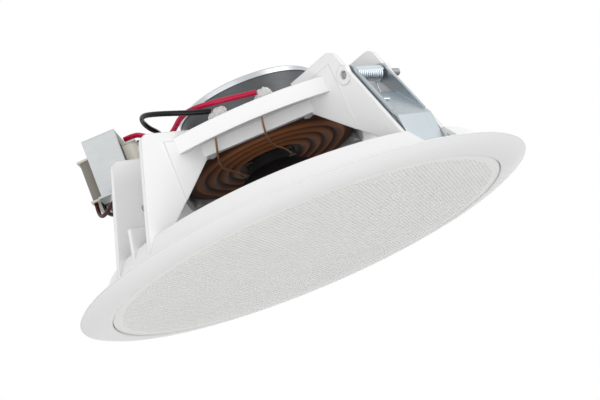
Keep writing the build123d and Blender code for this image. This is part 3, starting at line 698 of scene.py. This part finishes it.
def curveAlong(name, points, kind, radius, bevelSteps):
    line = bpy.data.curves.new(name, "CURVE")
    line.dimensions = "3D"
    line.bevel_depth = radius
    line.bevel_resolution = bevelSteps
    line.use_fill_caps = True
    run = line.splines.new(kind)
    run.points.add(len(points) - 1)
    for point, place in zip(run.points, points):
        point.co = (*place, 1)
    curve = bpy.data.objects.new(name, line)
    bpy.context.scene.collection.objects.link(curve)
    return curve


def wireLine(name, points, radius):
    takeUp(curveAlong(name, points, "POLY", radius, bent["bevelSteps"]))
    bpy.ops.object.convert(target="MESH")
    return newest(name)


def routeCurve(name, route, radius):
    points = [[value * mm for value in place] for place in route]
    curve = curveAlong(name, points, "NURBS", radius, soft["bevelSteps"])
    curve.data.resolution_u = soft["steps"]
    run = curve.data.splines[0]
    run.order_u = soft["order"]
    run.use_endpoint_u = True
    return curve


# Torsion springs on the clamp pins: the frame leg from the coil's inner side, as (out, up),
# and the arm leg along the clamp, as (along, off its plate, across)

spring = {"pivot": 78.0, "height": 50.0, "mean": 3.15, "wire": 0.45, "wireSides": 8, "half": 8.8,
          "turns": 14, "stepsPerTurn": 24, "slope": 55.0, "frameSide": 7.9,
          "frameLeg": [(0, 0.4), (0, -12), (-0.1, -20.4), (-0.1, -22.4)],
          "armLeg": [(-0.4, -3.15, -7.9), (9, -4.75, -7.9), (17, -6.55, -7.9), (18.1, -6.6, -7.9),
                     (18.6, -5.9, -7.9), (19.1, -3.5, -7.7), (19.2, -3.0, -7.1), (19.4, -2.95, -2.8)]}


def windCoil(side, angle):
    wire = spring["wire"] * mm
    deselectAll()
    bpy.ops.mesh.primitive_circle_add(
        vertices=spring["wireSides"], radius=wire, fill_type="NOTHING", location=(0, 0, 0))
    coil = newest("springCoil." + side)
    upright = Matrix.Rotation(math.pi / 2, 4, "X")
    coil.data.transform(Matrix.Translation((spring["mean"] * mm, 0, -spring["half"] * mm)) @ upright)
    pitch = 2 * spring["half"] / spring["turns"] * mm
    steps = spring["stepsPerTurn"]
    modify(coil, "SCREW", axis="Z", angle=2 * math.pi, screw_offset=pitch, iterations=spring["turns"],
           steps=steps, render_steps=steps, use_merge_vertices=False)
    editStart(coil, "EDGE")
    bpy.ops.mesh.select_non_manifold()
    bpy.ops.mesh.fill()
    editEnd()
    place = Matrix.Translation(onLeg(angle, spring["pivot"], 0, spring["height"]))
    turn = Matrix.Rotation(math.radians(angle), 4, "Z")
    coil.data.transform(place @ turn @ upright.inverted())  # the coil's own axis goes across the leg
    tidyNormals(coil)
    return coil


def buildSpring(side, angle, body):
    coil = windCoil(side, angle)
    slope = math.radians(spring["slope"])
    inside = spring["pivot"] - spring["mean"]

    def framePlace(out, up):
        return onLeg(angle, inside + out, spring["frameSide"], spring["height"] + up)

    def armPlace(along, off, across):
        out = spring["pivot"] + along * math.cos(slope) + off * math.sin(slope)
        return onLeg(angle, out, across, spring["height"] - along * math.sin(slope) + off * math.cos(slope))

    wire = spring["wire"] * mm
    framePoints = [framePlace(*point) for point in spring["frameLeg"]]
    armPoints = [armPlace(*point) for point in spring["armLeg"]]
    frameLeg = wireLine("springFrameLeg." + side, framePoints, wire)
    armLeg = wireLine("springArmLeg." + side, armPoints, wire)
    join(coil, frameLeg)
    for piece, carrier in ((coil, "frame"), (armLeg, body)):
        smooth(piece, bent["smooth"])
        paint(piece, "wire")
        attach(piece, carrier)
        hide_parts("clamp_spring_" + side)


buildSpring("front", -45, "front_clamp")
buildSpring("rear", 135, "rear_clamp")
print("springs: front and rear")


# Transformer core: a stack of laminations

core = {"x": 73.5, "stack": 17.0, "plates": 34, "plate": 0.44,
        "wide": (-20.5, -14.0, -6.5, 6.5, 14.0, 20.5), "tall": (52.0, 57.0, 80.0, 85.0), "near": 1.0}


def buildCore():
    columns, rows = len(core["wide"]) - 1, len(core["tall"]) - 1
    deselectAll()
    bpy.ops.mesh.primitive_grid_add(x_subdivisions=columns, y_subdivisions=rows, size=2, location=(0, 0, 0))
    stack = newest("laminationStack")
    for vertex in stack.data.vertices:  # grid lines go to the edges of the windows
        column = round((vertex.co.x + 1) / 2 * columns)
        row = round((vertex.co.y + 1) / 2 * rows)
        vertex.co = (0, core["wide"][column] * mm, core["tall"][row] * mm)
    middle = (core["tall"][1] + core["tall"][2]) / 2 * mm
    window = (core["wide"][3] + core["wide"][4]) / 2 * mm
    near = core["near"] * mm
    editStart(stack, "FACE")
    pick(stack, "polygons",
         lambda face: abs(face.center.z - middle) < near and abs(abs(face.center.y) - window) < near)
    bpy.ops.mesh.delete(type="FACE")
    editEnd()
    step = core["stack"] / core["plates"] * mm
    stack.data.transform(Matrix.Translation((-(core["x"] + core["stack"] / 2) * mm + step / 2, 0, 0)))
    tidyNormals(stack)
    modify(stack, "SOLIDIFY", thickness=core["plate"] * mm, offset=0)
    repeat(stack, core["plates"], (step, 0, 0))
    tidyNormals(stack)
    paint(stack, "lamination")
    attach(stack, "frame")
    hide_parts("transformer_core")
    print("core:", core["plates"], "plates")


buildCore()


# Leads: the routes of the solid model, in millimetres

leads = {
    "redLead": {
        "node": "red_lead", "finish": "red", "slot": "red_pvc",
        "diameter": 2.6, "length": 91.0,
        "route": [(6, -53, 63.0), (-5, -54.5, 64.5), (-15, -53.5, 66.5), (-24, -50, 68.8), (-31, -44, 69.5),
                  (-36, -37.5, 67.6), (-41, -31, 66.8), (-45.6, -25.4, 69.0), (-49.4, -20.6, 73.4),
                  (-53, -16.6, 78.2), (-57.4, -13.6, 81.5), (-63, -12.2, 81.7)]},
    "blackLead": {
        "node": "black_lead", "finish": "black", "slot": "black_pvc",
        "diameter": 2.6, "length": 94.7,
        "route": [(-16.5, -53, 63.0), (-24, -55, 65.0), (-33, -55.5, 68.5), (-41, -53, 72.5),
                  (-47, -46.5, 76.5), (-49, -38, 77.5), (-48.2, -29, 76.4), (-45.6, -20.6, 75.6),
                  (-45.4, -11.6, 77.0), (-49.6, -4, 79.6), (-56.6, -0.6, 81.5), (-63, -1, 81.5)]},
    "maroonLead": {
        "node": "primary_lead_maroon", "finish": "maroon", "slot": "maroon_pvc",
        "diameter": 2.0, "length": 47.1,
        "route": [(-87.2, -11.5, 57), (-87.6, -12.5, 52), (-85.5, -20, 46.8), (-81, -29, 45.2),
                  (-76, -36.5, 46.2), (-71.6, -40.6, 45.8), (-69.8, -42, 43), (-69.6, -42.1, 38.5)]},
    "lineBlackLead": {
        "node": "primary_lead_black", "finish": "black", "slot": "black_pvc",
        "diameter": 2.0, "length": 44.4,
        "route": [(-84, -10.5, 57), (-84.2, -11.5, 51.5), (-81, -17.5, 46.2), (-75.5, -24.5, 44.4),
                  (-69.5, -31, 45.4), (-65.6, -35, 45.2), (-64.1, -36.4, 42.4), (-63.9, -36.5, 38.5)]},
}
for leadName, lead in leads.items():
    cord = routeCurve(leadName, lead["route"], lead["diameter"] / 2 * mm)
    paint(cord, lead["finish"])
    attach(cord, "frame")
    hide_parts(lead["node"])
print("leads:", ", ".join(leads))


# Tinsel leads: strands laid round the route

tinsel = {"strands": 4, "offset": 0.27, "strand": 0.28, "turnEvery": 3.2, "steps": 24, "diameter": 1.1}
tinselRoutes = {
    "positive": {"length": 54.9, "route": [
        (10.5, -18.5, 39.6), (8, -25.5, 41.8), (4.5, -35, 41.0), (2.5, -45, 42.2), (3, -53, 45.5),
        (4.5, -58.6, 51.0), (6.5, -57.0, 57.2), (8.5, -53.2, 58.6)]},
    "negative": {"length": 55.5, "route": [
        (-14, -18.5, 38.4), (-19, -26, 41.2), (-22, -35, 41.2), (-22, -45, 43.0), (-20, -53, 46.5),
        (-18, -58.6, 51.0), (-16, -57.0, 57.2), (-14, -53.2, 58.6)]},
}


def splinePoints(route):  # the line that the route's own spline draws
    guide = routeCurve("tinselGuide", route, 0)
    guide.data.resolution_u = tinsel["steps"]
    drawn = bpy.data.meshes.new_from_object(guide)
    points = [vertex.co.copy() for vertex in drawn.vertices]
    bpy.data.meshes.remove(drawn)
    bpy.data.objects.remove(guide)
    return points


def aroundLine(points):  # each point with two directions square to the line
    side = Vector((0, 0, 1))
    turned = []
    for index, point in enumerate(points):
        ahead = points[min(index + 1, len(points) - 1)] - points[max(index - 1, 0)]
        ahead.normalize()
        side = (side - ahead * side.dot(ahead)).normalized()
        turned.append((point, side.copy(), ahead.cross(side)))
    return turned


def layStrand(points, turned, number):
    travelled = 0.0
    line = []
    for index, (point, right, up) in enumerate(turned):
        if index:
            travelled += (point - points[index - 1]).length / mm
        turn = 2 * math.pi * (travelled / tinsel["turnEvery"] + number / tinsel["strands"])
        line.append(point + (right * math.cos(turn) + up * math.sin(turn)) * tinsel["offset"] * mm)
    return wireLine("tinselStrand", line, tinsel["strand"] * mm)


def buildTinsel(pole):
    route = tinselRoutes[pole]["route"]
    points = splinePoints(route)
    turned = aroundLine(points)
    strands = [layStrand(points, turned, number) for number in range(tinsel["strands"])]
    braid = named(join(*strands), "tinselLead." + pole)
    smooth(braid, bent["smooth"])
    paint(braid, "tinsel")
    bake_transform(braid)
    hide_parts("tinsel_lead_" + pole)


for pole in tinselRoutes:
    buildTinsel(pole)
print("tinsel leads:", ", ".join(tinselRoutes))


# Beads of adhesive on the tags, and dabs of glue where the tinsel meets the cone

bead = {"radius": 3.6, "squeeze": (1.2, 0.95, 0.95), "lump": 3.2, "lumpSize": 2.6, "floor": 56.1,
        "places": {"positive": (8.5, -52.0, 60.5), "negative": (-14.0, -52.0, 60.5)}}
dab = {"radius": 1.5, "squeeze": (1.2, 1.0, 0.55), "lump": 0.5, "lumpSize": 1.5,
       "places": [(10.5, -18.5, 38.9), (-14.0, -18.5, 37.7), (10.3, -9.4, 45.9), (-10.3, -9.4, 45.9)]}
blobLook = {"subdivisions": 4, "smooth": 60}


def lumpy(name, place, form):
    deselectAll()
    bpy.ops.mesh.primitive_ico_sphere_add(
        subdivisions=blobLook["subdivisions"], radius=form["radius"] * mm, location=(0, 0, 0))
    blob = newest(name)
    texture = bpy.data.textures.new(name, "CLOUDS")
    texture.noise_scale = form["lumpSize"] * mm
    blob.data.transform(Matrix.Translation(Vector(place) * mm) @ Matrix.Diagonal((*form["squeeze"], 1)))
    modify(blob, "DISPLACE", texture=texture, strength=form["lump"] * mm, mid_level=0.5,
           texture_coords="LOCAL")
    smooth(blob, blobLook["smooth"])
    return blob


for pole, place in bead["places"].items():
    blob = lumpy("adhesiveBead." + pole, place, bead)
    editStart(blob)
    bpy.ops.mesh.select_all(action="SELECT")
    bpy.ops.mesh.bisect(
        plane_co=(0, 0, bead["floor"] * mm), plane_no=(0, 0, 1), use_fill=True, clear_inner=True)
    editEnd()
    paint(blob, "bead")
    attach(blob, "frame")
    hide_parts("lead_bead_" + pole)
for number, place in enumerate(dab["places"]):
    blob = lumpy("coneGlue." + str(number), place, dab)
    paint(blob, "glue")
    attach(blob, "moving_system")
print("beads and glue")


# Camera where the photograph was taken from, soft light all round, and a pale floor well below

camera = {"place": (0.00539, -0.57184, -0.12364), "right": (0.92133, 0.09572, -0.37681),
          "down": (-0.38878, 0.22683, -0.89297), "forward": (0.0, 0.96922, 0.2462),
          "lens": 72.0, "sensor": 36.0}
lamps = {
    "keySoft": {"place": (-0.6, -1.1, 0.4), "size": 1.2, "power": 2.4},
    "fillSoft": {"place": (1.1, -0.5, 0.1), "size": 1.0, "power": 5.6},
    "underSoft": {"place": (-0.2, -1.1, -0.45), "size": 1.0, "power": 5.4},
    "backSoft": {"place": (0.1, 1.1, 0.3), "size": 1.2, "power": 2.6},
}
room = {"light": 0.70, "shown": 1.0, "floor": -1.4, "floorSize": 60.0, "floorColour": (0.86, 0.86, 0.86),
        "floorRough": 0.8}


def buildCamera():
    data = bpy.data.cameras.new("photoCamera")
    data.lens = camera["lens"]
    data.sensor_width = camera["sensor"]
    view = bpy.data.objects.new("photoCamera", data)
    bpy.context.scene.collection.objects.link(view)
    right, down, forward = (Vector(camera[key]) for key in ("right", "down", "forward"))
    turn = Matrix((right, -down, -forward)).transposed().to_4x4()
    view.matrix_world = Matrix.Translation(camera["place"]) @ turn
    bpy.context.scene.camera = view


def buildLamps():
    for name, lamp in lamps.items():
        data = bpy.data.lights.new(name, "AREA")
        data.energy = lamp["power"]
        data.size = lamp["size"]
        light = bpy.data.objects.new(name, data)
        light.visible_camera = False
        bpy.context.scene.collection.objects.link(light)
        place = Vector(lamp["place"])
        aim = (-place).to_track_quat("-Z", "Y").to_matrix().to_4x4()
        light.matrix_world = Matrix.Translation(place) @ aim


def buildRoom():
    world = bpy.data.worlds.new("paleRoom")
    bpy.context.scene.world = world
    world.use_nodes = True
    tree = world.node_tree
    sky = tree.nodes["Background"]
    sky.inputs["Color"].default_value = (1, 1, 1, 1)
    path = addNode(tree, "LightPath")
    level = addNode(tree, "MapRange")
    level.inputs["To Min"].default_value = room["light"]
    level.inputs["To Max"].default_value = room["shown"]
    seen = path.outputs["Is Camera Ray"]
    for kind in ("Is Glossy Ray", "Is Transmission Ray"):  # metal and clear glue show the pale room too
        either = addNode(tree, "Math", operation="MAXIMUM")
        tree.links.new(seen, either.inputs[0])
        tree.links.new(path.outputs[kind], either.inputs[1])
        seen = either.outputs["Value"]
    tree.links.new(seen, level.inputs["Value"])
    tree.links.new(level.outputs["Result"], sky.inputs["Strength"])
    deselectAll()
    bpy.ops.mesh.primitive_plane_add(size=room["floorSize"], location=(0, 0, room["floor"]))
    floor = newest("paleFloor")
    settle(floor)
    pale = bpy.data.materials.new("paleFloor")
    pale.use_nodes = True
    shader = pale.node_tree.nodes["Principled BSDF"]
    shader.inputs["Base Color"].default_value = (*room["floorColour"], 1)
    shader.inputs["Roughness"].default_value = room["floorRough"]
    floor.data.materials.append(pale)


buildCamera()
buildLamps()
buildRoom()
bpy.context.scene.view_settings.view_transform = "Standard"
deselectAll()
print("camera and light")
